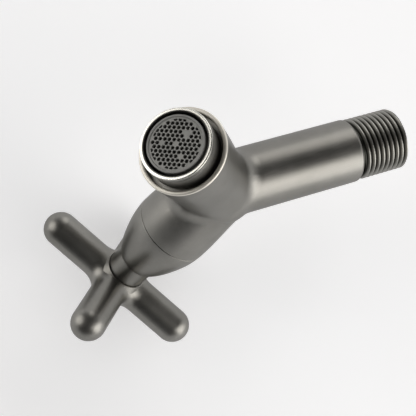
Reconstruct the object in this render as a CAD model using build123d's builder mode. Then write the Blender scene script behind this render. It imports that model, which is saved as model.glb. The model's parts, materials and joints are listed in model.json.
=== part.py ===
from build123d import *
from math import cos, hypot, radians, sin, sqrt, tan
import os

# A wall-mounted tap: a Y-shaped body with a pipe thread at the back, a cross handle on the upper
# branch and an aerated spout on the lower one. Water comes in through the thread, rises through a
# seat into a ceramic-disc headwork, leaves round it and falls through a slot into the spout.
# The origin is the centre of the thread's end face. +Y runs into the wall and +Z is up.

os.makedirs("parts", exist_ok=True)

# Clearances
screwed_gap = 0.05  # each side of pieces screwed or pressed together
running_gap = 0.04  # round a shaft that turns in its bore
seat_gap = 0.05  # between faces that are seated on each other
free_gap = 0.2  # round what turns inside a fixed piece without touching it
past = 1  # how far a cut runs on beyond the face it opens
sunk = 0.5  # how far an added length reaches into what it is joined to
nearness = 0.002  # within which an edge counts as lying where it is looked for

# Layout of the three branches
branch_angle = 60  # of the handle and of the spout, above and below the horizontal
tube_length = 48.9  # from the junction to the tube's end
thread_length = 17.4  # from the tube's end to the thread's end face

# Inlet: G 1/2 parallel pipe thread
thread_crest_r = 20.955 / 2
thread_pitch = 1.814
thread_depth = 1.162
thread_flank_angle = 27.5
thread_relief_width = 0.9
thread_relief_extra = 0.05
thread_end_chamfer = 0.7
tube_step = 0.32  # of the tube over the thread
tube_r = thread_crest_r + tube_step
tube_end_round = 1.2
inlet_bore_r = 6.5
inlet_bore_past_junction = 2.0

# Body casting. Heights are measured from the junction along the branch.
bulb_waist_r = 12.0
bulb_swell_share = 13 / 29  # of the step from the waist to the seam
bulb_swell_height = 11.0
seam_r = 13.45
knot_swell = 0.4  # of the ball where the branches meet, over the bulb's waist
body_blend_r = 8.0
spout_root_swell = 0.1  # of the spout's root over the bulb's waist
spout_root_length = 9.0
spout_middle_r = 13.1
spout_rim_r = 13.85
spout_length = 36.1
spout_taper_length = 11.1
rim_wall = 1.5
rim_round = 0.6
mouth_recess_depth = 2.9

# Waterways in the body. The seat stands in a moat at the foot of the headwork's chamber.
seat_height = 9.0
moat_depth = 3.5
seat_boss_inset = 0.6  # in from the discs' edge
seat_rim_width = 2.1
port_length = 11.0
port_width = 3.2
port_forward = 10.6
port_top = 1.5
spout_bore_r = 9.9
spout_bore_start = 8.0

# Ceramic discs
disc_inset = 6.05  # in from the seam's radius
disc_thickness = 2.2
disc_gap = 0.03
disc_window_inner_r = 1.2
disc_window_inset = 0.1  # in from the seat's bore
disc_window_angle = 78
disc_slot_width = 3.2
disc_slot_depth = 1.2
disc_ear_width = 2.4
disc_ear_height = 1.2
disc_ear_setback = 0.4
seat_seal_inset = 0.2  # in from the seat's edge
seat_seal_width = 1.3
seat_seal_thickness = 1.2

# Headwork, held in the body under the cover
headwork_depth = 15.2  # from the seat to the seam
headwork_disc_room = 0.2  # round the discs in the headwork's tube
headwork_tube_wall = 1.6
headwork_chamber_room = 0.7  # round the tube in the body's chamber
headwork_thread_step = 0.5  # of the thread over the chamber
headwork_thread_length = 7.2
headwork_shoulder_depth = 4.9  # from the seam down to where the thrust washer bears
headwork_window_width = 7.0
headwork_window_height = 2.2
headwork_flange_room = 0.15  # round the flange in the cover
headwork_flange_thickness = 1.8
headwork_washer_room = 0.2  # round the thread in the washer
headwork_washer_thickness = 0.8
hexagon_inset = 3.95  # of its flats from the seam's radius
hexagon_height = 5.0
stem_wall = 1.86

# Spindle and what rides on it
spindle_r = 4.0
spindle_collar_inset = 1.0  # in from the discs' edge
spindle_collar_height = 1.9
tang_inset = 0.4  # of each end of the tang from the collar's edge
thrust_washer_inset = 0.2
thrust_washer_thickness = 0.6
spindle_groove_depth = 0.85
spindle_groove_width = 1.3
spindle_rings_below_stem_top = (8.0, 13.0)
circlip_groove_depth = 0.6
circlip_thickness = 0.7
circlip_width = 1.9
circlip_opening = 3.0
spline_teeth = 20
spline_depth = 0.42
spline_width = 0.55
spline_below_bush = 3.3
screw_r = 2.0

# Cover and collar over the headwork
seam_gap = 0.18
seam_round = 0.15
cover_wall = 1.3
cover_length = 20.7  # from the seam to the cover's top
cover_middle_drop = 1.95
cover_middle_share = 0.56
cover_inside_shares = (0, 0.35, 0.65, 0.86)  # along the outside, where the inside is set off from it
cover_top_r = 7.65
cover_end_round = 0.4
collar_r = 7.15
collar_chamfer = 0.4

# Cross handle
neck_length = 7.67  # from the cover's top to the handle's hub
collar_in_hub = 2.05
stem_short_of_hub = 2.57
arm_r = 6.13
arm_reach = 32.45
arm_crotch_r = 4.5
arm_flat = 0.03
handle_rest_angle = 50.5
hub_rim_wall = 0.45
hub_slope = 60  # of the hub's side, from its face down into the arms
hub_side_depth = 2.5
hub_recess_depth = 2.7
bush_wall = 1.9
bush_height = 5.0
bush_web = 1.3
spindle_below_bush_top = 0.25
screw_hole_gap = 0.2
screw_head_r = 3.8
screw_head_height = 1.7
screw_head_room = 0.6
screw_engagement = 9.0
screw_socket_depth = 1.0
screw_socket_across_flats = 2.5
cap_r = 5.0
cap_thickness = 1.3
cap_dome = 0.35
cap_below_top = 0.1

# Aerator, screwed into the spout
aerator_depth = 7.8  # from the rim down to the aerator's seat
aerator_stand_out = 6.0  # from the rim up to the aerator's lip
aerator_thread_r = 11.0
gasket_width = 2.35
gasket_thickness = 1.2
cup_flange_thickness = 1.0
cup_clearance = 0.84  # the dark gap round the cup
cup_wall = 0.72
cup_ledge_width = 0.5
cup_lip_round = 0.25
housing_head_r = 11.2
housing_wall = 1.34
housing_lip_round = 0.36
housing_bore_round = 0.12
housing_groove_depth = 0.22
housing_groove_below_lip = 1.5
housing_thread_length = 4.2
honeycomb_thickness = 1.8
honeycomb_recess = 0.3
honeycomb_pitch = 1.44
honeycomb_web = 0.3
honeycomb_rim = 0.05
honeycomb_turn = -3.7
honeycomb_pin_steps = 3  # from the centre out to each closed pin
screen_thickness = 0.3
screen_hole_r = 0.55
screen_pitch = 1.7
screens_below_honeycomb = (0.4, 1.9)
jet_plate_above_flange = 0.9
jet_plate_thickness = 1.8
jet_count = 18
jet_r = 0.45
jet_circle_inset = 1.6
jet_boss_r = 2.3
jet_boss_height = 1.4
regulator_ring_r = 0.75
strainer_inset = 0.3
strainer_thickness = 0.8
strainer_skirt_height = 0.9
strainer_skirt_wall = 0.5
strainer_hole_r = 0.5
strainer_pitch = 1.6

# Radii and heights that follow, each piece from the one that holds it
bulb_swell_r = bulb_waist_r + bulb_swell_share * (seam_r - bulb_waist_r)
knot_r = bulb_waist_r + knot_swell
spout_root_r = bulb_waist_r + spout_root_swell
spout_middle_height = spout_length - spout_taper_length
disc_r = seam_r - disc_inset
seat_boss_r = disc_r - seat_boss_inset
seat_bore_r = seat_boss_r - seat_rim_width
disc_window_outer_r = seat_bore_r - disc_window_inset
seat_seal_outer_r = seat_boss_r - seat_seal_inset
seat_seal_inner_r = seat_seal_outer_r - seat_seal_width
moat_floor = seat_height - moat_depth
headwork_tube_bore_r = disc_r + headwork_disc_room
headwork_tube_r = headwork_tube_bore_r + headwork_tube_wall
chamber_r = headwork_tube_r + headwork_chamber_room
headwork_thread_r = chamber_r + headwork_thread_step
seam_height = seat_height + headwork_depth
headwork_thread_start = seam_height - headwork_thread_length
headwork_shoulder_height = seam_height - headwork_shoulder_depth
headwork_flange_r = seam_r - cover_wall - headwork_flange_room
headwork_washer_inner_r = headwork_thread_r + headwork_washer_room
hexagon_across_flats = 2 * (seam_r - hexagon_inset)
stem_r = spindle_r + running_gap + stem_wall
spindle_collar_r = disc_r - spindle_collar_inset
thrust_washer_r = disc_r - thrust_washer_inset
tang_length = 2 * (spindle_collar_r - tang_inset)
circlip_outer_r = spindle_r - circlip_groove_depth + circlip_width
cover_top = seam_height + cover_length
cover_middle_height = seam_height + cover_middle_share * cover_length
cover_middle_r = seam_r - cover_middle_drop
hub_bottom = cover_top + neck_length
arm_height = hub_bottom + arm_r
hub_top = arm_height + arm_r
stem_top = hub_bottom - stem_short_of_hub
collar_top = hub_bottom + collar_in_hub
hub_rim_r = collar_r + free_gap + hub_rim_wall
recess_top = hub_bottom + hub_recess_depth
bush_r = spindle_r + bush_wall
bush_top = recess_top + bush_height
spindle_top = bush_top - spindle_below_bush_top
spline_start = recess_top - spline_below_bush
screw_hole_r = screw_r + screw_hole_gap
screw_seat = bush_top + bush_web
screw_head_pocket_r = screw_head_r + screw_head_room
cap_bottom = hub_top - cap_thickness
aerator_seat_height = spout_length - aerator_depth
housing_top = spout_length + aerator_stand_out
housing_bore_r = housing_head_r - housing_wall
cup_outer_r = housing_bore_r - cup_clearance
cup_bore_r = cup_outer_r - cup_wall
cup_ledge_r = cup_bore_r - cup_ledge_width
gasket_inner_r = aerator_thread_r - screwed_gap - gasket_width
strainer_r = gasket_inner_r - strainer_inset
honeycomb_field_r = cup_ledge_r - honeycomb_rim
honeycomb_hole_r = (honeycomb_pitch - honeycomb_web) / 2
jet_circle_r = cup_ledge_r - jet_circle_inset

# The junction, where all three axes meet, and the planes and half sections that follow from it
junction = Vector(0, -(thread_length + tube_length), 0)
forward = cos(radians(branch_angle))
upward = sin(radians(branch_angle))
handle_direction = Vector(0, -forward, upward)
spout_direction = Vector(0, -forward, -upward)
inlet_plane = Plane(origin=junction, x_dir=(1, 0, 0), z_dir=(0, 1, 0))
handle_plane = Plane(origin=junction, x_dir=(1, 0, 0), z_dir=handle_direction)
spout_plane = Plane(origin=junction, x_dir=(1, 0, 0), z_dir=spout_direction)
handle_axis = Axis(junction, handle_direction)
spout_axis = Axis(junction, spout_direction)
inlet_axis = Axis(junction, (0, 1, 0))


def half_section(plane):
    """The plane of a half section: x is the radius and y the height from the junction along the branch."""
    return Plane(origin=plane.origin, x_dir=plane.x_dir, z_dir=-plane.y_dir)


handle_section = half_section(handle_plane)
spout_section = half_section(spout_plane)
inlet_section = half_section(inlet_plane)


def lies_round(edge, plane, radius, reach):
    """Whether an edge lies on a cylinder round a plane's z axis, and ends short of the reach along it."""
    points = [plane.to_local_coords(edge @ share) for share in (0, 0.2, 0.4, 0.6, 0.8, 1)]
    on_wall = all(abs(hypot(point.X, point.Y) - radius) < nearness for point in points)
    return on_wall and all(point.Z < reach for point in points) and edge.geom_type != GeomType.LINE


def grid_points(pitch, field_r):
    """Centres of a triangular grid that lie within a circle, the centre one among them."""
    row_step = pitch * sqrt(3) / 2
    rows = int(field_r / row_step) + 1
    columns = int(field_r / pitch) + 2
    centres = []
    for row in range(-rows, rows + 1):
        for column in range(-columns, columns + 1):
            x = (column + (row % 2) / 2) * pitch
            y = row * row_step
            if hypot(x, y) <= field_r:
                centres.append((x, y))
    return centres


# The pipe thread: a helical groove round the end of the tube, with a relief at its root and a chamfer
# at its mouth. The groove starts in the relief and runs out past the end face.
groove_overcut = 0.3
groove_flank = tan(radians(thread_flank_angle))
thread_root_r = thread_crest_r - thread_depth
groove_floor = (thread_pitch - 2 * thread_depth * groove_flank) / 2
groove_reach = thread_depth + groove_overcut
groove_mouth = groove_floor + 2 * groove_reach * groove_flank
groove_start = thread_relief_width / 2 - thread_length
groove_plane = Plane(origin=(0, groove_start, 0), x_dir=(1, 0, 0), z_dir=(0, 1, 0))
groove_helix = Helix(pitch=thread_pitch, height=thread_pitch - groove_start, radius=thread_root_r)
groove_helix = groove_plane.from_local_coords(groove_helix)
groove_foot = groove_helix @ 0
groove_outward = Vector(groove_foot.X, 0, groove_foot.Z)

with BuildPart() as thread_groove:
    with BuildSketch(Plane(origin=groove_foot, x_dir=groove_outward, z_dir=groove_helix % 0)):
        with BuildLine():
            Polyline(
                (0, -groove_floor / 2),
                (groove_reach, -groove_mouth / 2),
                (groove_reach, groove_mouth / 2),
                (0, groove_floor / 2),
                close=True,
            )
        make_face()
    sweep(path=groove_helix, is_frenet=True)

with BuildPart() as threaded_end:
    with BuildSketch(inlet_plane.offset(tube_length)):
        Circle(thread_crest_r)
    extrude(amount=thread_length)
    add(thread_groove.part, mode=Mode.SUBTRACT)
    with BuildSketch(inlet_section):
        relief_r = thread_root_r - thread_relief_extra
        thread_start = tube_length + thread_relief_width
        thread_end = tube_length + thread_length
        outside_r = thread_crest_r + past
        with BuildLine():
            Polyline(
                (relief_r, tube_length - past),
                (outside_r, tube_length - past),
                (outside_r, thread_start),
                (relief_r, thread_start),
                close=True,
            )
        make_face()
        with BuildLine():
            Polyline(
                (thread_crest_r - thread_end_chamfer - past, thread_end + past),
                (outside_r, thread_end + past),
                (outside_r, thread_end - thread_end_chamfer - past),
                close=True,
            )
        make_face()
    revolve(axis=inlet_axis, mode=Mode.SUBTRACT)

with BuildPart() as tap_body:
    # the bulb, from the junction up to the seam with the cover
    with BuildSketch(handle_section):
        with BuildLine():
            Line((0, 0), (bulb_waist_r, 0))
            Spline(
                (bulb_waist_r, 0),
                (bulb_swell_r, bulb_swell_height),
                (seam_r, seam_height),
                tangents=[(0, 1), (0, 1)],
            )
            Polyline((seam_r, seam_height), (0, seam_height), (0, 0))
        make_face()
    revolve(axis=handle_axis)
    with Locations(junction):
        Sphere(knot_r)
    # the inlet tube, rounded at its end
    with BuildSketch(inlet_plane):
        Circle(tube_r)
    extrude(amount=tube_length)
    tube_end = tap_body.edges().filter_by(GeomType.CIRCLE).sort_by(Axis.Y)[-1]
    fillet(tube_end, tube_end_round)
    # the spout, flaring a little to its rim
    with BuildSketch(spout_section):
        with BuildLine():
            Polyline((0, 0), (spout_root_r, 0), (spout_root_r, spout_root_length))
            Spline(
                (spout_root_r, spout_root_length),
                (spout_middle_r, spout_middle_height),
                (spout_rim_r, spout_length),
                tangents=[(0, 1), (spout_rim_r - spout_middle_r, spout_length - spout_middle_height)],
            )
            Polyline((spout_rim_r, spout_length), (0, spout_length), (0, 0))
        make_face()
    revolve(axis=spout_axis)
    # the wide blend that runs all round where the three branches meet
    creases = [
        e
        for e in tap_body.edges()
        if lies_round(e, inlet_plane, tube_r, tube_length / 2)
        or lies_round(e, spout_plane, spout_root_r, spout_root_length)
    ]
    fillet(creases, body_blend_r)
    # the chamber round the headwork, with the seat standing in its floor
    with BuildSketch(handle_section):
        with BuildLine():
            Polyline(
                (0, seat_height),
                (seat_boss_r, seat_height),
                (seat_boss_r, moat_floor),
                (chamber_r, moat_floor),
                (chamber_r, headwork_thread_start),
                (headwork_thread_r, headwork_thread_start),
                (headwork_thread_r, seam_height + past),
                (0, seam_height + past),
                close=True,
            )
        make_face()
    revolve(axis=handle_axis, mode=Mode.SUBTRACT)
    # the seat's bore
    with BuildSketch(handle_plane):
        Circle(seat_bore_r)
    extrude(amount=seat_height, mode=Mode.SUBTRACT)
    # the spout's bore, the aerator's thread and the recess inside the rim
    mouth_recess_floor = spout_length - mouth_recess_depth
    with BuildSketch(spout_section):
        with BuildLine():
            Polyline(
                (0, spout_bore_start),
                (spout_bore_r, spout_bore_start),
                (spout_bore_r, aerator_seat_height),
                (aerator_thread_r + screwed_gap, aerator_seat_height),
                (aerator_thread_r + screwed_gap, mouth_recess_floor),
                (spout_rim_r - rim_wall, mouth_recess_floor),
                (spout_rim_r - rim_wall, spout_length + past),
                (0, spout_length + past),
                close=True,
            )
        make_face()
    revolve(axis=spout_axis, mode=Mode.SUBTRACT)
    # the slot that lets the water down from the chamber into the spout
    slot_reach = moat_floor / upward
    with BuildSketch(Plane(origin=(0, junction.Y - port_forward, -slot_reach))):
        SlotOverall(port_length, port_width)
    extrude(amount=slot_reach + port_top, mode=Mode.SUBTRACT)
    # the polished rim, and the softened edge at the seam
    rim_edges = [
        e
        for e in tap_body.edges().filter_by(GeomType.CIRCLE)
        if abs(spout_plane.to_local_coords(e.arc_center).Z - spout_length) < nearness
    ]
    fillet(rim_edges, rim_round)
    body_seam = [e for e in tap_body.edges() if lies_round(e, handle_plane, seam_r, seam_height + past)]
    fillet(body_seam, seam_round)
    # the threaded end, joined on inside the rounded end of the tube
    with BuildSketch(inlet_plane.offset(tube_length - tube_end_round)):
        Circle(relief_r)
    extrude(amount=tube_end_round + thread_relief_width / 2)
    add(threaded_end.part)
    with BuildSketch(inlet_plane.offset(-inlet_bore_past_junction)):
        Circle(inlet_bore_r)
    extrude(amount=inlet_bore_past_junction + tube_length + thread_length, mode=Mode.SUBTRACT)
tap_body.part.label = "tap_body"

# Heights that stack up from the seat and from the seam
fixed_disc_bottom = seat_height + seat_seal_thickness
fixed_disc_top = fixed_disc_bottom + disc_thickness
turning_disc_bottom = fixed_disc_top + disc_gap
turning_disc_top = turning_disc_bottom + disc_thickness
headwork_bottom = fixed_disc_bottom + seat_gap
washer_bottom = seam_height
flange_bottom = washer_bottom + headwork_washer_thickness
flange_top = flange_bottom + headwork_flange_thickness
spindle_collar_top = headwork_shoulder_height - thrust_washer_thickness - 2 * seat_gap
spindle_collar_bottom = spindle_collar_top - spindle_collar_height


# Two opposite windows of a ceramic disc, each a sector with its point cut off
with BuildSketch() as disc_windows:
    for turn in (0, 180):
        with BuildLine():
            first = turn - disc_window_angle / 2
            outer_arc = CenterArc((0, 0), disc_window_outer_r, first, disc_window_angle)
            inner_arc = CenterArc((0, 0), disc_window_inner_r, first, disc_window_angle)
            Line(outer_arc @ 0, inner_arc @ 0)
            Line(outer_arc @ 1, inner_arc @ 1)
        make_face()

with BuildPart() as seat_seal:
    with BuildSketch(handle_plane.offset(seat_height)):
        Circle(seat_seal_outer_r)
        Circle(seat_seal_inner_r, mode=Mode.SUBTRACT)
    extrude(amount=seat_seal_thickness)
seat_seal.part.label = "seat_seal"

# The fixed disc is keyed into the headwork by two ears, and the turning disc lies on it.
with BuildPart() as fixed_disc:
    with BuildSketch(handle_plane.offset(fixed_disc_bottom)):
        Circle(disc_r)
        add(disc_windows.sketch, mode=Mode.SUBTRACT)
    extrude(amount=disc_thickness)
    ear_reach = 2 * (headwork_tube_r - disc_ear_setback)
    with BuildSketch(handle_plane.offset(fixed_disc_bottom + seat_gap)):
        Rectangle(disc_ear_width, ear_reach)
        Circle(disc_r - sunk, mode=Mode.SUBTRACT)
    extrude(amount=disc_ear_height)
fixed_disc.part.label = "fixed_disc"

with BuildPart() as turning_disc:
    with BuildSketch(handle_plane.offset(turning_disc_bottom)):
        Circle(disc_r - running_gap)
        add(disc_windows.sketch, mode=Mode.SUBTRACT)
    extrude(amount=disc_thickness)
    with BuildSketch(handle_plane.offset(turning_disc_top - disc_slot_depth)):
        Rectangle(disc_slot_width, 2 * disc_r)
    extrude(amount=disc_slot_depth, mode=Mode.SUBTRACT)
turning_disc.part.label = "turning_disc"

with BuildPart() as headwork_body:
    with BuildSketch(handle_section):
        with BuildLine():
            Polyline(
                (headwork_tube_bore_r, headwork_bottom),
                (headwork_tube_r, headwork_bottom),
                (headwork_tube_r, headwork_thread_start),
                (headwork_thread_r - screwed_gap, headwork_thread_start),
                (headwork_thread_r - screwed_gap, flange_bottom),
                (headwork_flange_r, flange_bottom),
                (headwork_flange_r, flange_top),
                (stem_r, flange_top),
                (stem_r, stem_top),
                (spindle_r + running_gap, stem_top),
                (spindle_r + running_gap, headwork_shoulder_height),
                (headwork_tube_bore_r, headwork_shoulder_height),
                close=True,
            )
        make_face()
    revolve(axis=handle_axis)
    with BuildSketch(handle_plane.offset(flange_top)):
        RegularPolygon(hexagon_across_flats / 2, 6, major_radius=False)
        Circle(stem_r - sunk, mode=Mode.SUBTRACT)
    extrude(amount=hexagon_height)
    # the windows that let the water out into the chamber, and the slots for the fixed disc's ears
    with BuildSketch(handle_plane.offset(turning_disc_top + seat_gap)):
        Rectangle(2 * headwork_thread_r, headwork_window_width)
        Circle(headwork_tube_bore_r - sunk, mode=Mode.SUBTRACT)
    extrude(amount=headwork_window_height, mode=Mode.SUBTRACT)
    with BuildSketch(handle_plane.offset(headwork_bottom)):
        Rectangle(disc_ear_width + 2 * screwed_gap, 2 * headwork_thread_r)
        Circle(headwork_tube_bore_r - sunk, mode=Mode.SUBTRACT)
    extrude(amount=disc_ear_height + seat_gap, mode=Mode.SUBTRACT)
headwork_body.part.label = "headwork_body"

with BuildPart() as headwork_washer:
    with BuildSketch(handle_plane.offset(washer_bottom)):
        Circle(headwork_flange_r)
        Circle(headwork_washer_inner_r, mode=Mode.SUBTRACT)
    extrude(amount=headwork_washer_thickness)
headwork_washer.part.label = "headwork_washer"

groove_r = spindle_r - spindle_groove_depth
spindle_ring_heights = [stem_top - below for below in spindle_rings_below_stem_top]
circlip_bottom = stem_top + seat_gap
circlip_top = circlip_bottom + circlip_thickness
circlip_groove_r = spindle_r - circlip_groove_depth
tang_bottom = turning_disc_top - disc_slot_depth + seat_gap

# The spindle: a tang in the disc's slot, a collar under the thrust washer, two grooves for the
# sealing rings, a groove for the circlip and splines at the top.
with BuildPart() as spindle:
    with BuildSketch(handle_section):
        with BuildLine():
            Polyline(
                (0, spindle_collar_bottom),
                (spindle_collar_r, spindle_collar_bottom),
                (spindle_collar_r, spindle_collar_top),
                (spindle_r, spindle_collar_top),
                (spindle_r, spline_start),
                (0, spline_start),
                close=True,
            )
        make_face()
        for height in spindle_ring_heights:
            with Locations((spindle_r, height)):
                Rectangle(2 * spindle_groove_depth, spindle_groove_width, mode=Mode.SUBTRACT)
        with Locations((spindle_r, (circlip_bottom + circlip_top) / 2)):
            Rectangle(2 * circlip_groove_depth, circlip_thickness + seat_gap, mode=Mode.SUBTRACT)
    revolve(axis=handle_axis)
    with BuildSketch(handle_plane.offset(tang_bottom)):
        Rectangle(disc_slot_width - 2 * screwed_gap, tang_length)
    extrude(amount=spindle_collar_bottom - tang_bottom)
    with BuildSketch(handle_plane.offset(spline_start)):
        Circle(spindle_r - spline_depth)
        with PolarLocations(spindle_r - spline_depth, spline_teeth):
            Rectangle(2 * (spline_depth - screwed_gap), spline_width)
    extrude(amount=spindle_top - spline_start)
    with BuildSketch(handle_plane.offset(spindle_top)):
        Circle(screw_r + screwed_gap)
    extrude(amount=-(screw_engagement + sunk), mode=Mode.SUBTRACT)
spindle.part.label = "spindle"

with BuildPart() as spindle_sealing_rings:
    ring_outer_r = spindle_r + running_gap / 2
    section_r = (ring_outer_r - groove_r - screwed_gap) / 2
    with BuildSketch(handle_section):
        for height in spindle_ring_heights:
            with Locations((ring_outer_r - section_r, height)):
                Circle(section_r)
    revolve(axis=handle_axis)
spindle_sealing_rings.part.label = "spindle_sealing_rings"

with BuildPart() as thrust_washer:
    with BuildSketch(handle_plane.offset(spindle_collar_top + seat_gap)):
        Circle(thrust_washer_r)
        Circle(spindle_r + screwed_gap, mode=Mode.SUBTRACT)
    extrude(amount=thrust_washer_thickness)
thrust_washer.part.label = "thrust_washer"

with BuildPart() as spindle_circlip:
    with BuildSketch(handle_plane.offset(circlip_bottom)):
        Circle(circlip_outer_r)
        Circle(circlip_groove_r + screwed_gap, mode=Mode.SUBTRACT)
        with Locations((circlip_outer_r, 0)):
            Rectangle(2 * circlip_outer_r, circlip_opening, mode=Mode.SUBTRACT)
    extrude(amount=circlip_thickness)
spindle_circlip.part.label = "spindle_circlip"

# The egg-shaped cover closes down to the seam, and the collar above clamps it on the stem.
with BuildPart() as bonnet_cover:
    cover_bottom = seam_height + seam_gap
    cover_hole_r = stem_r + screwed_gap
    with BuildSketch(handle_section):
        with BuildLine():
            outside = Spline(
                (seam_r, cover_bottom),
                (cover_middle_r, cover_middle_height),
                (cover_top_r, cover_top),
                tangents=[(0, 1), (cover_top_r - seam_r, cover_top - cover_middle_height)],
            )
            inside_points = []
            for share in cover_inside_shares:
                tangent = outside % share
                inside_points.append(outside @ share + Vector(-tangent.Y, tangent.X) * cover_wall)
            inside = Spline(*inside_points)
            Polyline(
                outside @ 1,
                (cover_hole_r, cover_top),
                (cover_hole_r, (inside @ 1).Y),
                inside @ 1,
            )
            Line(inside @ 0, outside @ 0)
        make_face()
    revolve(axis=handle_axis)
    cover_edges = bonnet_cover.edges()
    cover_seam = [e for e in cover_edges if lies_round(e, handle_plane, seam_r, cover_top)]
    cover_end = [e for e in cover_edges if lies_round(e, handle_plane, cover_top_r, cover_top + past)]
    fillet(cover_seam, seam_round)
    fillet(cover_end, cover_end_round)
bonnet_cover.part.label = "bonnet_cover"

with BuildPart() as neck_collar:
    with BuildSketch(handle_plane.offset(cover_top + seat_gap)):
        Circle(collar_r)
        Circle(stem_r + screwed_gap, mode=Mode.SUBTRACT)
    extrude(amount=collar_top - cover_top - seat_gap)
    chamfer(neck_collar.edges().group_by(SortBy.DISTANCE)[-1].sort_by(SortBy.RADIUS)[-1], collar_chamfer)
neck_collar.part.label = "neck_collar"

# The cross handle: round arms in a plane, with the collar's recess, the bush and the screw in its hub
arm_plane = Plane(handle_plane.location * Location((0, 0, arm_height), (0, 0, handle_rest_angle)))


def lies_on_arm_face(edge):
    """Whether an edge lies round the flat top or bottom of the cross, before it is rounded."""
    return abs(abs(arm_plane.to_local_coords(edge @ 0.5).Z) - arm_r) < nearness


with BuildPart() as handle:
    with BuildSketch(arm_plane) as cross_outline:
        SlotOverall(2 * arm_reach, 2 * arm_r)
        SlotOverall(2 * arm_reach, 2 * arm_r, rotation=90)
        fillet(cross_outline.vertices().group_by(SortBy.DISTANCE)[0], arm_crotch_r)
    extrude(amount=arm_r, both=True)
    fillet([e for e in handle.edges() if lies_on_arm_face(e)], arm_r - arm_flat)
    # the rim round the collar, sloping down into the arms
    hub_side_r = hub_rim_r + hub_side_depth / tan(radians(hub_slope))
    with BuildSketch(handle_section):
        with BuildLine():
            Polyline(
                (0, hub_bottom),
                (hub_rim_r, hub_bottom),
                (hub_side_r, hub_bottom + hub_side_depth),
                (0, arm_height),
                close=True,
            )
        make_face()
    revolve(axis=handle_axis)
    with BuildSketch(handle_section):
        with BuildLine():
            Polyline(
                (0, hub_bottom - past),
                (collar_r + free_gap, hub_bottom - past),
                (collar_r + free_gap, recess_top),
                (bush_r + screwed_gap, recess_top),
                (bush_r + screwed_gap, bush_top),
                (screw_hole_r, bush_top),
                (screw_hole_r, screw_seat),
                (screw_head_pocket_r, screw_seat),
                (screw_head_pocket_r, cap_bottom),
                (cap_r + screwed_gap, cap_bottom),
                (cap_r + screwed_gap, hub_top + past),
                (0, hub_top + past),
                close=True,
            )
        make_face()
    revolve(axis=handle_axis, mode=Mode.SUBTRACT)
handle.part.label = "handle"

with BuildPart() as handle_bush:
    with BuildSketch(handle_plane.offset(recess_top)):
        Circle(bush_r)
        Circle(spindle_r - spline_depth + screwed_gap, mode=Mode.SUBTRACT)
        with PolarLocations(spindle_r - spline_depth, spline_teeth):
            Rectangle(2 * spline_depth, spline_width + 2 * screwed_gap, mode=Mode.SUBTRACT)
    extrude(amount=bush_height - seat_gap)
handle_bush.part.label = "handle_bush"

with BuildPart() as handle_screw:
    with BuildSketch(handle_section):
        with BuildLine():
            Polyline(
                (0, spindle_top - screw_engagement),
                (screw_r, spindle_top - screw_engagement),
                (screw_r, screw_seat + seat_gap),
                (screw_head_r, screw_seat + seat_gap),
                (screw_head_r, screw_seat + screw_head_height),
                (0, screw_seat + screw_head_height),
                close=True,
            )
        make_face()
    revolve(axis=handle_axis)
    with BuildSketch(handle_plane.offset(screw_seat + screw_head_height)):
        RegularPolygon(screw_socket_across_flats / 2, 6, major_radius=False)
    extrude(amount=-screw_socket_depth, mode=Mode.SUBTRACT)
handle_screw.part.label = "handle_screw"

with BuildPart() as handle_cap:
    with BuildSketch(handle_section):
        cap_edge = hub_top - cap_below_top
        with BuildLine():
            Polyline((0, cap_bottom + seat_gap), (cap_r, cap_bottom + seat_gap), (cap_r, cap_edge))
            cap_dome_r = (cap_r**2 + cap_dome**2) / (2 * cap_dome)
            cap_dome_middle = cap_edge + cap_dome - cap_dome_r + sqrt(cap_dome_r**2 - (cap_r / 2) ** 2)
            ThreePointArc((cap_r, cap_edge), (cap_r / 2, cap_dome_middle), (0, cap_edge + cap_dome))
            Line((0, cap_edge + cap_dome), (0, cap_bottom + seat_gap))
        make_face()
    revolve(axis=handle_axis)
handle_cap.part.label = "handle_cap"

# The aerator, from the washer at its inner end to the honeycomb that the water leaves by
gasket_bottom = aerator_seat_height + seat_gap
flange_seat = gasket_bottom + gasket_thickness
cup_flange_top = flange_seat + cup_flange_thickness
housing_bottom = cup_flange_top + seat_gap
jet_plate_bottom = cup_flange_top + jet_plate_above_flange
honeycomb_top = housing_top - honeycomb_recess
honeycomb_bottom = honeycomb_top - honeycomb_thickness

with BuildPart() as aerator_gasket:
    with BuildSketch(spout_plane.offset(gasket_bottom)):
        Circle(aerator_thread_r - screwed_gap)
        Circle(gasket_inner_r, mode=Mode.SUBTRACT)
    extrude(amount=gasket_thickness)
aerator_gasket.part.label = "aerator_gasket"

with BuildPart() as aerator_housing:
    with BuildSketch(spout_section) as housing_outline:
        with BuildLine():
            Polyline(
                (housing_bore_r, housing_bottom),
                (aerator_thread_r, housing_bottom),
                (aerator_thread_r, housing_bottom + housing_thread_length),
                (housing_head_r, housing_bottom + housing_thread_length),
                (housing_head_r, housing_top),
                (housing_bore_r, housing_top),
                close=True,
            )
        make_face()
        fillet(housing_outline.vertices().group_by(Axis.Y)[-1].sort_by(Axis.X)[-1], housing_lip_round)
        fillet(housing_outline.vertices().group_by(Axis.Y)[-1].sort_by(Axis.X)[0], housing_bore_round)
        with Locations((housing_head_r, housing_top - housing_groove_below_lip)):
            RegularPolygon(housing_groove_depth, 4, mode=Mode.SUBTRACT)
    revolve(axis=spout_axis)
aerator_housing.part.label = "aerator_housing"

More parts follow.
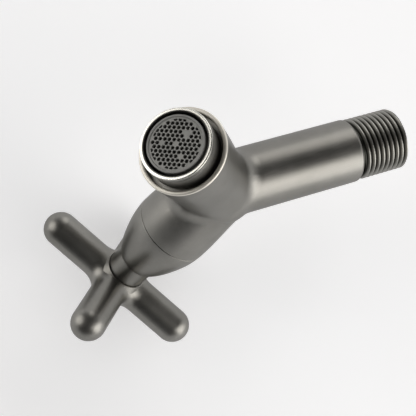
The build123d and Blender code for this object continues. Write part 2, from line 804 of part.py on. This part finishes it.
with BuildPart() as aerator_cup:
    with BuildSketch(spout_section) as cup_outline:
        with BuildLine():
            Polyline(
                (cup_ledge_r, flange_seat),
                (aerator_thread_r - screwed_gap, flange_seat),
                (aerator_thread_r - screwed_gap, cup_flange_top),
                (cup_outer_r, cup_flange_top),
                (cup_outer_r, housing_top),
                (cup_bore_r, housing_top),
                (cup_bore_r, honeycomb_bottom - seat_gap),
                (cup_ledge_r, honeycomb_bottom - seat_gap),
                close=True,
            )
        make_face()
        fillet(cup_outline.vertices().group_by(Axis.Y)[-1], cup_lip_round)
    revolve(axis=spout_axis)
aerator_cup.part.label = "aerator_cup"

# The honeycomb's holes fill a round field and are cut off where they cross its edge. It is closed at the
# centre, at three pins round it, and at two places beside the last pin.
step = Vector(honeycomb_pitch, 0)
pins = [honeycomb_pin_steps * step.rotate(Axis.Z, turn) for turn in (60, 180, 300)]
closed_places = [Vector(0, 0), *pins, pins[-1] - step, pins[-1] + step.rotate(Axis.Z, 240)]
open_holes = [
    (x, y)
    for x, y in grid_points(honeycomb_pitch, honeycomb_field_r)
    if all(hypot(x - place.X, y - place.Y) > honeycomb_pitch / 2 for place in closed_places)
]

with BuildSketch() as honeycomb_holes:
    with Locations(*open_holes):
        RegularPolygon(honeycomb_hole_r, 6, major_radius=False)
    Circle(honeycomb_field_r, mode=Mode.INTERSECT)

with BuildPart() as outlet_honeycomb:
    honeycomb_place = Location((0, 0, honeycomb_bottom), (0, 0, honeycomb_turn))
    with BuildSketch(Plane(spout_plane.location * honeycomb_place)):
        Circle(cup_bore_r - screwed_gap)
        add(honeycomb_holes.sketch, mode=Mode.SUBTRACT)
    extrude(amount=honeycomb_thickness)
outlet_honeycomb.part.label = "outlet_honeycomb"

with BuildPart() as aerator_screens:
    for below in screens_below_honeycomb:
        with BuildSketch(spout_plane.offset(honeycomb_bottom - below - screen_thickness)):
            Circle(cup_ledge_r - screwed_gap)
            with Locations(*grid_points(screen_pitch, cup_ledge_r - 2 * screen_hole_r)):
                Circle(screen_hole_r, mode=Mode.SUBTRACT)
        extrude(amount=screen_thickness)
aerator_screens.part.label = "aerator_screens"

with BuildPart() as jet_plate:
    with BuildSketch(spout_plane.offset(jet_plate_bottom)):
        Circle(cup_ledge_r - screwed_gap)
        with PolarLocations(jet_circle_r, jet_count):
            Circle(jet_r, mode=Mode.SUBTRACT)
    extrude(amount=jet_plate_thickness)
    with BuildSketch(spout_plane.offset(jet_plate_bottom)):
        Circle(jet_boss_r)
    extrude(amount=-jet_boss_height)
jet_plate.part.label = "jet_plate"

with BuildPart() as flow_regulator_ring:
    ring_middle_r = jet_boss_r + seat_gap + regulator_ring_r
    with BuildSketch(spout_section):
        with Locations((ring_middle_r, jet_plate_bottom - seat_gap - regulator_ring_r)):
            Circle(regulator_ring_r)
    revolve(axis=spout_axis)
flow_regulator_ring.part.label = "flow_regulator_ring"

with BuildPart() as inlet_strainer:
    strainer_top = flange_seat - seat_gap
    with BuildSketch(spout_plane.offset(strainer_top - strainer_thickness)):
        Circle(strainer_r)
        with Locations(*grid_points(strainer_pitch, strainer_r - 3 * strainer_hole_r)):
            Circle(strainer_hole_r, mode=Mode.SUBTRACT)
    extrude(amount=strainer_thickness)
    with BuildSketch(spout_plane.offset(strainer_top)):
        Circle(cup_ledge_r - screwed_gap)
        Circle(cup_ledge_r - screwed_gap - strainer_skirt_wall, mode=Mode.SUBTRACT)
    extrude(amount=strainer_skirt_height)
inlet_strainer.part.label = "inlet_strainer"

pieces = [
    tap_body,
    bonnet_cover,
    neck_collar,
    headwork_body,
    headwork_washer,
    seat_seal,
    fixed_disc,
    turning_disc,
    spindle,
    spindle_sealing_rings,
    thrust_washer,
    spindle_circlip,
    handle,
    handle_bush,
    handle_screw,
    handle_cap,
    aerator_housing,
    aerator_gasket,
    aerator_cup,
    outlet_honeycomb,
    aerator_screens,
    jet_plate,
    flow_regulator_ring,
    inlet_strainer,
]
for piece in pieces:
    export_step(piece.part, f"parts/{piece.part.label}.step")
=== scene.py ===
"""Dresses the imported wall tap, stands it before a pale sheet, lights it and sets the photograph's camera.

The castings are satin gunmetal with a pale rim and a polished lip. The aerator's insert is grey plastic, and
the pieces inside are brass, steel, ceramic, rubber and slip plastic.
"""

import json
import math

import bpy
from mathutils import Matrix, Vector

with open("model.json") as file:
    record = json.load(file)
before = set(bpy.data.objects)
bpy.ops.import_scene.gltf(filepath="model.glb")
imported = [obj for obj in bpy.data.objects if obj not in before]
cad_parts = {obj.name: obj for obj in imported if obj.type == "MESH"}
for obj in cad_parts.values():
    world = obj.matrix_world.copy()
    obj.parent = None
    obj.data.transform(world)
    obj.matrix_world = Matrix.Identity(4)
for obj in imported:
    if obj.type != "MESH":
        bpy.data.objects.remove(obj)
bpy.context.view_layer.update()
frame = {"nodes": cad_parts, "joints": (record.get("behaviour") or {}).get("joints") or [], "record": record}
nodes = frame["nodes"]
mounts = {mount["name"]: mount for mount in frame["record"]["mounts"]}

# The tap's layout, in metres. Its three branches leave one junction, which lies where the handle's axis comes
# down to the inlet's.
handle_turn = frame["joints"][0]
handle_place = Vector(handle_turn["pos_m"])
HANDLE_AXIS = Vector(handle_turn["axis"])
SPOUT_AXIS = Vector(mounts["aerator_outlet"]["axis"])
INLET_AXIS = Vector(mounts["inlet_thread"]["axis"])
INLET_END = Vector(mounts["inlet_face"]["pos_m"])
JUNCTION = handle_place - HANDLE_AXIS * (handle_place.z / HANDLE_AXIS.z)


def reach(name, axis):
    """How far a node reaches along an axis from the junction."""
    return max((vertex.co - JUNCTION).dot(axis) for vertex in nodes[name].data.vertices)


SPOUT_LENGTH = reach("tap_body", SPOUT_AXIS)
AERATOR_LIP = reach("aerator_housing", SPOUT_AXIS)
HONEYCOMB_FACE = reach("outlet_honeycomb", SPOUT_AXIS)
THREAD_LENGTH = 0.0174
INLET_BORE_R = 0.0065
SPOUT_INSIDE_R = 0.0110  # the widest that the spout is hollowed below its mouth
MOUTH_DEPTH = 0.0029
MOUTH_FLOOR = SPOUT_LENGTH - MOUTH_DEPTH
LIP_EDGE_R = 0.0103  # where the lip's painted shade inside meets its white outside

# Where one finish gives way to the next, as the start and the end of each change.
# Along the inlet, from its end face:
THREAD_CHANGE = (-THREAD_LENGTH - 0.0003, -THREAD_LENGTH + 0.0001)
INLET_BRASS_CHANGE = (JUNCTION.y + 0.008, JUNCTION.y + 0.010)
# Away from the inlet's axis:
INLET_BORE_CHANGE = (INLET_BORE_R + 0.0001, INLET_BORE_R + 0.0004)
THREAD_DEPTH_CHANGE = (0.0094, 0.0103)  # from the root's painted shade to the crest's colour
# Along the spout, from the junction:
SPOUT_BRASS_CHANGE = (0.0040, 0.0060)
MOUTH_CHANGE = (MOUTH_FLOOR - 0.0010, MOUTH_FLOOR - 0.0004)
RIM_CHANGE = (SPOUT_LENGTH - 0.0010, SPOUT_LENGTH - 0.0004)
LIP_CHANGE = (AERATOR_LIP - 0.0003, AERATOR_LIP - 0.0001)
# Away from the spout's axis:
SPOUT_INSIDE_CHANGE = (SPOUT_INSIDE_R, SPOUT_INSIDE_R + 0.0003)
LIP_EDGE_CHANGE = (LIP_EDGE_R - 0.0001, LIP_EDGE_R + 0.0001)
# Down from the honeycomb's face, where its holes darken with painted shade:
HOLE_CHANGE = (0.0001, 0.0016)

# The camera that was fitted to the photograph
CAMERA_PLACE = Vector((-0.135045, -0.182703, -0.290854))
CAMERA_RIGHT = Vector((-0.3787, 0.9085, -0.1764))
CAMERA_DOWN = Vector((-0.8426, -0.2597, 0.4717))
CAMERA_FORWARD = Vector((0.3828, 0.3273, 0.8639))
LENS_MM = 91.2
SENSOR_MM = 36.0
CLIP_START = 0.01
CLIP_END = 10

# The pale sheet behind the tap
BACKDROP_GAP = 0.003
BACKDROP_SIDE = 4.0
BACKDROP_COLOUR = (0.72, 0.722, 0.735, 1)
BACKDROP_ROUGHNESS = 0.9
BACKDROP_GLOW = 0.55
BACKDROP_GLOW_COLOUR = (1.0, 1.0, 1.005, 1)
SHADE_REACH = 0.07
SHADE_LEAN = 0.7  # of the side that shades a place, to its right and up, so that the shade falls lower left
SHADE_SPAN = (0.4, 1.0)  # how open the sheet is to its surroundings, from shaded to free
SHADE_GLOW = (0.1, 1.0)
FADE_SPAN = (0.0, 0.2)  # painted shade, to the lower left of the sheet's centre
FADE_GLOW = (1.0, 0.78)

# The studio and its lamps
WALL_GLOW = 0.80
ROOM_GLOW = 0.05
ROOM_REACH = 0.5  # the cosine, towards the camera, from which the dark room is all that shows
LAMP_TARGET = Vector((0, -0.066, 0))
LAMP_DISTANCE = 1.2
WARM = (1.0, 0.975, 0.94)
WHITE = (1.0, 1.0, 1.0, 1)

# What the finishes share
CLOUD_SPAN = (0.35, 0.65)  # most of a cloudy noise lies between these values
GRAIN_SPAN = (0.3, 0.7)  # and most of a fine one between these
FADING = (1.0, 0.0)  # for a change that ends instead of beginning
MAIN_SHARE = 0.7  # of the main value, where two are blended
EDGE_SPAN = (0.02, 0.25)  # how far a rounded edge's direction leans from the true one, as 1 less the cosine
BEVEL_SAMPLES = 4
BUMP_DEPTH = 0.00002

# The gunmetal castings
GUNMETAL_DARK = (0.218, 0.213, 0.197, 1)
GUNMETAL_LIGHT = (0.268, 0.262, 0.245, 1)
GUNMETAL_WORN = (0.44, 0.43, 0.39, 1)
CHAMPAGNE = (0.80, 0.77, 0.70, 1)
LIP_WHITE = (0.86, 0.85, 0.79, 1)
# The dark colour of the lip's inside is painted shade
LIP_PAINTED_SHADE = (0.05, 0.05, 0.047, 1)
THREAD_CREST = (0.30, 0.295, 0.275, 1)
# The thread's root colour is painted shade in its grooves
THREAD_ROOT_PAINTED_SHADE = (0.060, 0.060, 0.054, 1)
RAW_BRASS = (0.60, 0.43, 0.19, 1)
EDGE_TINT = (0.7, 0.7, 0.7, 1)
SATIN_GRAIN = (5200, 5200, 260)  # cells per metre, across the branch both ways and along it
SATIN_ROUGHNESS = (0.35, 0.42)
SATIN_BUMP = 0.12
CLOUD_ROUGHNESS = (-0.015, 0.02)
WEAR_RADIUS = 0.0006
WEAR_SPAN = (0.35, 0.6)
WEAR_SHARE = (0.35, 0.8)
WEAR_POLISH = 0.08
RIM_ROUGHNESS = 0.55
THREAD_ROUGHNESS = 0.38
LIP_ROUGHNESS = 0.22

# The aerator's grey plastic
HONEYCOMB_DARK = (0.29, 0.29, 0.275, 1)
HONEYCOMB_LIGHT = (0.36, 0.36, 0.34, 1)
# The colour deep in the holes is painted shade
HOLE_PAINTED_SHADE = (0.17, 0.17, 0.16, 1)
MOULDED_TEXTURE = 2600
MOULDED_ROUGHNESS = (0.34, 0.46)
MOULDED_BUMP = 0.12

# The turn that lays a grain along each branch
ALONG_HANDLE = (math.radians(30), 0, 0)
ALONG_INLET = (math.radians(-90), 0, 0)
ALONG_SPOUT = (math.radians(150), 0, 0)


class NodeTree:
    """A shader's node tree, emptied, with short calls for the nodes that this scene uses."""

    def __init__(self, tree, output_kind):
        self.tree = tree
        self.tree.nodes.clear()
        self.output = self.add(output_kind)

    def feed(self, value, socket):
        """Links another node's output to a socket, or sets the socket to a plain value."""
        if isinstance(value, bpy.types.NodeSocket):
            self.tree.links.new(value, socket)
        else:
            socket.default_value = value

    def add(self, kind, **inputs):
        """A new node, with its inputs fed by their names."""
        node = self.tree.nodes.new(kind)
        for name, value in inputs.items():
            self.feed(value, node.inputs[name.replace("_", " ")])
        return node

    def math(self, operation, first, second):
        node = self.add("ShaderNodeMath")
        node.operation = operation
        self.feed(first, node.inputs[0])
        self.feed(second, node.inputs[1])
        return node.outputs[0]

    def vector(self, operation, first, second=(0, 0, 0)):
        node = self.add("ShaderNodeVectorMath")
        node.operation = operation
        self.feed(first, node.inputs[0])
        self.feed(second, node.inputs["Scale" if operation == "SCALE" else 1])
        return node.outputs["Value" if operation in ("DOT_PRODUCT", "LENGTH") else "Vector"]

    def ramp(self, value, span, to=(0.0, 1.0)):
        """A smooth step between the two values of to, while the value crosses the span."""
        node = self.add(
            "ShaderNodeMapRange", Value=value, From_Min=span[0], From_Max=span[1], To_Min=to[0], To_Max=to[1]
        )
        node.interpolation_type = "SMOOTHSTEP"
        return node.outputs["Result"]

    def mix(self, share, first, second, kind="RGBA"):
        """The first value turned into the second by a share: RGBA for colours, or VALUE for numbers."""
        node = self.add("ShaderNodeMix", Factor=share)
        node.data_type = "RGBA" if kind == "RGBA" else "FLOAT"
        ends = [socket for socket in node.inputs if socket.type == kind and socket.name != "Factor"]
        self.feed(first, ends[0])
        self.feed(second, ends[1])
        return next(socket for socket in node.outputs if socket.type == kind)

    def blend(self, main, lesser):
        """A sum of two values, by MAIN_SHARE and what is left of 1."""
        main_part = self.math("MULTIPLY", main, MAIN_SHARE)
        return self.math("ADD", main_part, self.math("MULTIPLY", lesser, 1 - MAIN_SHARE))


class Finish(NodeTree):
    """A new material with one shader, whose patterns are fixed to the tap's own frame."""

    def __init__(self, name):
        self.material = bpy.data.materials.new(name)
        self.material.use_nodes = True
        super().__init__(self.material.node_tree, "ShaderNodeOutputMaterial")
        self.shader = self.add("ShaderNodeBsdfPrincipled")
        self.feed(self.shader.outputs["BSDF"], self.output.inputs["Surface"])
        self.place = self.add("ShaderNodeTexCoord").outputs["Object"]

    def noise(self, scale, detail, roughness, place=None):
        node = self.add("ShaderNodeTexNoise", Scale=scale, Detail=detail, Roughness=roughness)
        self.feed(place or self.place, node.inputs["Vector"])
        return node.outputs["Fac"]

    def grain(self, scales, turn, roughness):
        """A noise drawn out into a brushed grain: the place is turned, then scaled along each axis."""
        turned = self.add("ShaderNodeMapping", Vector=self.place, Rotation=turn)
        turned.vector_type = "TEXTURE"
        return self.noise(1.0, 3, roughness, self.vector("MULTIPLY", turned.outputs["Vector"], scales))

    def bump(self, height, strength):
        node = self.add("ShaderNodeBump", Height=height, Strength=strength, Distance=BUMP_DEPTH)
        return node.outputs["Normal"]

    def edges(self, radius):
        """1 along edges, where handling wears the finish, and 0 further from them than about the radius."""
        bevel = self.add("ShaderNodeBevel", Radius=radius)
        bevel.samples = BEVEL_SAMPLES
        geometry = self.add("ShaderNodeNewGeometry")
        agreement = self.vector("DOT_PRODUCT", bevel.outputs["Normal"], geometry.outputs["Normal"])
        return self.ramp(self.math("SUBTRACT", 1.0, agreement), EDGE_SPAN)

    def along(self, axis, origin=JUNCTION):
        """How far a point lies along an axis from an origin."""
        return self.vector("DOT_PRODUCT", self.vector("SUBTRACT", self.place, origin), axis)

    def away(self, axis):
        """How far a point lies from an axis through the junction."""
        offset = self.vector("SUBTRACT", self.place, JUNCTION)
        foot = self.vector("SCALE", axis, self.along(axis))
        return self.vector("LENGTH", self.vector("SUBTRACT", offset, foot))

    def set(self, **values):
        for name, value in values.items():
            self.feed(value, self.shader.inputs[name.replace("_", " ")])


def satin(tree, turn):
    """Satin gunmetal's colour, roughness and normal: cloudy plating, a brushed grain and paler worn edges."""
    cloud = tree.noise(scale=55, detail=4, roughness=0.6)
    speck = tree.noise(scale=900, detail=2, roughness=0.5)
    grain = tree.grain(SATIN_GRAIN, turn, roughness=0.6)
    colour = tree.mix(tree.ramp(tree.blend(cloud, grain), CLOUD_SPAN), GUNMETAL_DARK, GUNMETAL_LIGHT)
    wear = tree.math("MULTIPLY", tree.edges(WEAR_RADIUS), tree.ramp(cloud, WEAR_SPAN, WEAR_SHARE))
    colour = tree.mix(wear, colour, GUNMETAL_WORN)
    clouded = tree.ramp(cloud, CLOUD_SPAN, CLOUD_ROUGHNESS)
    rough = tree.math("ADD", tree.ramp(grain, GRAIN_SPAN, SATIN_ROUGHNESS), clouded)
    rough = tree.math("SUBTRACT", rough, tree.math("MULTIPLY", wear, WEAR_POLISH))
    return colour, rough, tree.bump(tree.blend(grain, speck), SATIN_BUMP)


def gunmetal(tree, colour, rough, normal):
    """Sets a finish to plated metal, whose reflections are dimmed towards its outline by EDGE_TINT."""
    tree.set(Metallic=1.0, Base_Color=colour, Roughness=rough, Normal=normal, Specular_Tint=EDGE_TINT)
    return tree.material


def cover_finish():
    """The cover, the collar and the handle: satin all over."""
    tree = Finish("satin_gunmetal_cover")
    return gunmetal(tree, *satin(tree, ALONG_HANDLE))


def body_finish():
    """The casting: satin outside, a pale rim, a machined thread darkened by painted shade towards its roots,
    and plain brass waterways.
    """
    tree = Finish("satin_gunmetal_body")
    colour, rough, normal = satin(tree, ALONG_INLET)
    down_spout = tree.along(SPOUT_AXIS)
    rim = tree.ramp(down_spout, RIM_CHANGE)
    colour = tree.mix(rim, colour, CHAMPAGNE)
    rough = tree.mix(rim, rough, RIM_ROUGHNESS, "VALUE")

    along_inlet = tree.along(INLET_AXIS, INLET_END)
    from_axis = tree.away(INLET_AXIS)
    thread = tree.ramp(along_inlet, THREAD_CHANGE)
    # Painted shade: the thread darkens from its crests down into its roots
    thread_colour_and_shade = tree.mix(tree.ramp(from_axis, THREAD_DEPTH_CHANGE), THREAD_ROOT_PAINTED_SHADE, THREAD_CREST)
    colour = tree.mix(thread, colour, thread_colour_and_shade)
    rough = tree.mix(thread, rough, THREAD_ROUGHNESS, "VALUE")

    inlet_bore = tree.ramp(from_axis, INLET_BORE_CHANGE, FADING)
    inlet_bore = tree.math("MULTIPLY", inlet_bore, tree.ramp(along_inlet, INLET_BRASS_CHANGE))
    inside_spout = tree.ramp(tree.away(SPOUT_AXIS), SPOUT_INSIDE_CHANGE, FADING)
    below_mouth = tree.ramp(down_spout, MOUTH_CHANGE, FADING)
    past_junction = tree.ramp(down_spout, SPOUT_BRASS_CHANGE)
    spout_bore = tree.math("MULTIPLY", inside_spout, tree.math("MULTIPLY", below_mouth, past_junction))
    colour = tree.mix(tree.math("MAXIMUM", inlet_bore, spout_bore), colour, RAW_BRASS)
    return gunmetal(tree, colour, rough, normal)


def housing_finish():
    """The aerator's housing: satin, with a lip that is white and polished outside and darkened by painted
    shade inside.
    """
    tree = Finish("aerator_housing_finish")
    colour, rough, normal = satin(tree, ALONG_SPOUT)
    lip = tree.ramp(tree.along(SPOUT_AXIS), LIP_CHANGE)
    outside = tree.ramp(tree.away(SPOUT_AXIS), LIP_EDGE_CHANGE)
    # Inside the lip's edge, painted shade darkens the lip
    colour = tree.mix(lip, colour, tree.mix(outside, LIP_PAINTED_SHADE, LIP_WHITE))
    rough = tree.mix(lip, rough, LIP_ROUGHNESS, "VALUE")
    return gunmetal(tree, colour, rough, normal)


def worn_edges(tree, colour, worn, radius, share):
    """A colour that turns by a share into the worn one, along edges rounded by about the radius."""
    return tree.mix(tree.math("MULTIPLY", tree.edges(radius), share), colour, worn)


def machined_finish(name, dark, light, worn, roughness, scales, turn):
    """A machined metal with brighter edges and turning marks, whose scales are cells per metre."""
    tree = Finish(name)
    cloud = tree.noise(scale=80, detail=3, roughness=0.6)
    grain = tree.grain(scales, turn, roughness=0.65)
    colour = tree.mix(tree.ramp(cloud, CLOUD_SPAN), dark, light)
    colour = worn_edges(tree, colour, worn, radius=0.0003, share=0.6)
    rough = tree.ramp(grain, GRAIN_SPAN, roughness)
    tree.set(Metallic=1.0, Base_Color=colour, Roughness=rough, Normal=tree.bump(grain, strength=0.2))
    return tree.material


def mottle(tree, dark, light):
    """A faint mottle between two colours, as in plastic, rubber or ceramic."""
    cloud = tree.noise(scale=140, detail=3, roughness=0.6)
    return tree.mix(tree.ramp(cloud, CLOUD_SPAN), dark, light)


def texture(tree, scale, roughness, strength):
    """Gives a finish a fine surface texture, in its roughness and its bumps."""
    fine = tree.noise(scale=scale, detail=2, roughness=0.6)
    tree.set(Roughness=tree.ramp(fine, GRAIN_SPAN, roughness), Normal=tree.bump(fine, strength))


def plain_finish(name, dark, light, worn, roughness, scale, strength):
    """A plastic, rubber or ceramic with a faint mottle, a fine surface texture and paler edges."""
    tree = Finish(name)
    tree.set(Base_Color=worn_edges(tree, mottle(tree, dark, light), worn, radius=0.0002, share=0.5))
    texture(tree, scale, roughness, strength)
    return tree.material


def honeycomb_finish():
    """The outlet plate, in the same grey plastic, with painted shade darkening it inside its holes."""
    tree = Finish("honeycomb_plastic")
    depth = tree.math("SUBTRACT", HONEYCOMB_FACE, tree.along(SPOUT_AXIS))
    face = mottle(tree, HONEYCOMB_DARK, HONEYCOMB_LIGHT)
    # Painted shade: the plate darkens with depth down its holes
    tree.set(Base_Color=tree.mix(tree.ramp(depth, HOLE_CHANGE), face, HOLE_PAINTED_SHADE))
    texture(tree, MOULDED_TEXTURE, MOULDED_ROUGHNESS, MOULDED_BUMP)
    return tree.material


cover = cover_finish()
casting = body_finish()
honeycomb = honeycomb_finish()
housing = housing_finish()
brass = machined_finish(
    "machined_brass",
    dark=(0.60, 0.42, 0.17, 1),
    light=(0.72, 0.53, 0.24, 1),
    worn=(0.85, 0.68, 0.36, 1),
    roughness=(0.24, 0.36),
    scales=(700, 700, 7000),
    turn=ALONG_HANDLE,
)
steel = machined_finish(
    "stainless_steel",
    dark=(0.50, 0.49, 0.47, 1),
    light=(0.60, 0.59, 0.57, 1),
    worn=(0.80, 0.79, 0.76, 1),
    roughness=(0.22, 0.34),
    scales=(4000, 4000, 500),
    turn=ALONG_HANDLE,
)
ceramic = plain_finish(
    "lapped_ceramic",
    dark=(0.80, 0.79, 0.76, 1),
    light=(0.87, 0.86, 0.83, 1),
    worn=(0.92, 0.91, 0.89, 1),
    roughness=(0.16, 0.26),
    scale=2500,
    strength=0.05,
)
rubber = plain_finish(
    "seal_rubber",
    dark=(0.018, 0.018, 0.018, 1),
    light=(0.032, 0.031, 0.030, 1),
    worn=(0.06, 0.06, 0.06, 1),
    roughness=(0.5, 0.68),
    scale=2200,
    strength=0.25,
)
plastic = plain_finish(
    "aerator_plastic",
    dark=(0.26, 0.26, 0.25, 1),
    light=(0.32, 0.32, 0.305, 1),
    worn=(0.55, 0.55, 0.52, 1),
    roughness=MOULDED_ROUGHNESS,
    scale=MOULDED_TEXTURE,
    strength=MOULDED_BUMP,
)
slip_plastic = plain_finish(
    "slip_plastic",
    dark=(0.78, 0.77, 0.72, 1),
    light=(0.86, 0.85, 0.80, 1),
    worn=(0.9, 0.89, 0.86, 1),
    roughness=(0.38, 0.5),
    scale=2000,
    strength=0.12,
)

finishes = {
    "tap_body": casting,
    "bonnet_cover": cover,
    "neck_collar": cover,
    "handle": cover,
    "handle_cap": cover,
    "headwork_body": brass,
    "headwork_washer": rubber,
    "seat_seal": rubber,
    "fixed_disc": ceramic,
    "turning_disc": ceramic,
    "spindle": brass,
    "spindle_sealing_rings": rubber,
    "thrust_washer": slip_plastic,
    "spindle_circlip": steel,
    "handle_bush": brass,
    "handle_screw": steel,
    "aerator_housing": housing,
    "aerator_gasket": rubber,
    "aerator_cup": plastic,
    "outlet_honeycomb": honeycomb,
    "aerator_screens": steel,
    "jet_plate": slip_plastic,
    "flow_regulator_ring": rubber,
    "inlet_strainer": slip_plastic,
}
for name, node in nodes.items():
    node.data.materials.clear()
    node.data.materials.append(finishes[name])


def camera():
    """The camera at the photograph's viewing angle."""
    data = bpy.data.cameras.new("photo_camera")
    data.sensor_width = SENSOR_MM
    data.lens = LENS_MM
    data.clip_start = CLIP_START
    data.clip_end = CLIP_END
    eye = bpy.data.objects.new("photo_camera", data)
    turn = Matrix((CAMERA_RIGHT, -CAMERA_DOWN, -CAMERA_FORWARD)).transposed().to_4x4()
    eye.matrix_world = Matrix.Translation(CAMERA_PLACE) @ turn
    bpy.context.scene.collection.objects.link(eye)
    bpy.context.scene.camera = eye


def studio():
    """The studio: pale walls behind the tap and at its sides, and a darker room on the camera's side."""
    world = bpy.data.worlds.new("studio")
    world.use_nodes = True
    tree = NodeTree(world.node_tree, "ShaderNodeOutputWorld")
    direction = tree.add("ShaderNodeTexCoord").outputs["Generated"]
    towards_camera = tree.vector("DOT_PRODUCT", direction, -CAMERA_FORWARD)
    glow = tree.ramp(towards_camera, (0.0, ROOM_REACH), (WALL_GLOW, ROOM_GLOW))
    background = tree.add("ShaderNodeBackground", Color=WHITE, Strength=glow)
    tree.feed(background.outputs["Background"], tree.output.inputs["Surface"])
    bpy.context.scene.world = world


def backdrop_finish(centre):
    """A pale sheet that glows a little, but less in the tap's painted contact shadows and in painted shade
    towards its lower left.
    """
    tree = Finish("pale_backdrop")
    shading_side = CAMERA_RIGHT * SHADE_LEAN - CAMERA_DOWN * SHADE_LEAN - CAMERA_FORWARD
    lean = tree.vector("NORMALIZE", shading_side)
    shade = tree.add("ShaderNodeAmbientOcclusion", Distance=SHADE_REACH, Normal=lean)
    # Ambient occlusion dims the glow: painted contact shadows
    openness = tree.ramp(shade.outputs["AO"], SHADE_SPAN, SHADE_GLOW)
    # Painted shade: the glow fades towards the lower left
    fade = tree.ramp(tree.along(CAMERA_DOWN - CAMERA_RIGHT, centre), FADE_SPAN, FADE_GLOW)
    glow = tree.math("MULTIPLY", openness, fade)
    rays = tree.add("ShaderNodeLightPath").outputs
    seen = tree.math("MAXIMUM", rays["Is Camera Ray"], rays["Is Glossy Ray"])
    seen = tree.math("MAXIMUM", seen, rays["Is Transmission Ray"])
    glow = tree.math("MULTIPLY", tree.math("MULTIPLY", glow, seen), BACKDROP_GLOW)
    tree.set(Base_Color=BACKDROP_COLOUR, Roughness=BACKDROP_ROUGHNESS, Specular_IOR_Level=0.0)
    tree.set(Emission_Color=BACKDROP_GLOW_COLOUR, Emission_Strength=glow)

    # The sheet's back is clear, so that it hides nothing in a view from behind
    back = tree.add("ShaderNodeNewGeometry").outputs["Backfacing"]
    clear = tree.add("ShaderNodeBsdfTransparent").outputs["BSDF"]
    choice = tree.add("ShaderNodeMixShader")
    for source, socket in zip((back, tree.shader.outputs["BSDF"], clear), choice.inputs):
        tree.feed(source, socket)
    tree.feed(choice.outputs[0], tree.output.inputs["Surface"])
    return tree.material


def backdrop():
    """A plain pale sheet square to the view, just behind the tap's deepest point."""
    places = (vertex.co - CAMERA_PLACE for node in nodes.values() for vertex in node.data.vertices)
    depth = max(place.dot(CAMERA_FORWARD) for place in places) + BACKDROP_GAP
    centre = CAMERA_PLACE + CAMERA_FORWARD * depth
    across = CAMERA_RIGHT * BACKDROP_SIDE / 2
    upward = -CAMERA_DOWN * BACKDROP_SIDE / 2
    sides = [(-1, -1), (1, -1), (1, 1), (-1, 1)]
    mesh = bpy.data.meshes.new("backdrop")
    mesh.from_pydata([centre + across * x + upward * y for x, y in sides], [], [(0, 1, 2, 3)])
    mesh.materials.append(backdrop_finish(centre))
    sheet = bpy.data.objects.new("backdrop", mesh)
    bpy.context.scene.collection.objects.link(sheet)


def softbox(name, right, up, back, spread, glow):
    """A round soft lamp, spread degrees wide on each side of its middle and glow bright, as the tap sees it.

    Its direction from the tap is given along the photograph's right, up and towards the camera. A disc lamp
    shines as bright as its power over pi times its area.
    """
    direction = (CAMERA_RIGHT * right - CAMERA_DOWN * up - CAMERA_FORWARD * back).normalized()
    radius = LAMP_DISTANCE * math.tan(math.radians(spread))
    data = bpy.data.lights.new(name, "AREA")
    data.shape = "DISK"
    data.size = 2 * radius
    data.energy = glow * math.pi * (math.pi * radius**2)
    data.color = WARM
    lamp = bpy.data.objects.new(name, data)
    turn = (-direction).to_track_quat("-Z", "Y").to_matrix().to_4x4()
    lamp.matrix_world = Matrix.Translation(LAMP_TARGET + direction * LAMP_DISTANCE) @ turn
    bpy.context.scene.collection.objects.link(lamp)


camera()
studio()
backdrop()
softbox("low_right_box", right=0.87, up=-0.43, back=0.24, spread=26, glow=2.7)
softbox("top_box", right=0.41, up=0.87, back=0.27, spread=18, glow=1.73)
softbox("left_box", right=-0.82, up=0.30, back=0.48, spread=24, glow=2.0)
softbox("low_box", right=0.24, up=-0.97, back=0.00, spread=18, glow=0.37)
softbox("right_front_box", right=0.60, up=-0.50, back=0.62, spread=16, glow=1.4)
bpy.context.scene.view_settings.view_transform = "Standard"
